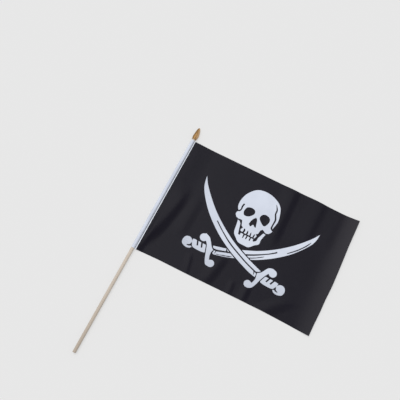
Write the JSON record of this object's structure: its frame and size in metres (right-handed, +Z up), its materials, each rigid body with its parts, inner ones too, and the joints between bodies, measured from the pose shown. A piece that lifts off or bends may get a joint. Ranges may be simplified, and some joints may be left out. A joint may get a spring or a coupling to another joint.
{
  "type": "hand flag",
  "caption": "Hand-waving cloth flag with a printed skull over crossed sabres, sewn round a wooden dowel with a gold spear tip, lying flat.",
  "frame": {"origin": "centre of the dowel's butt end", "axes": "+Y along the dowel to the spear tip, +X from the dowel to the flag's fly edge, +Z up, away from the ground that the flag lies on"},
  "size_m": [0.4548, 0.607, 0.0098],
  "materials": {
    "dowel_wood": "sanded, unvarnished",
    "gold_plastic": "gold paint on moulded plastic",
    "white_polyester": "plain woven, slight sheen",
    "black_dye": "dyed cloth, slight sheen",
    "back_dye": "dye showing through, matt",
    "white_thread": "polyester sewing thread"
  },
  "bodies": {
    "root": {"stick": "dowel_wood", "spear_tip": "gold_plastic", "flag_cloth": "white_polyester", "face_print": "black_dye", "back_print": "back_dye", "seam_thread": "white_thread"}
  },
  "joints": []
}
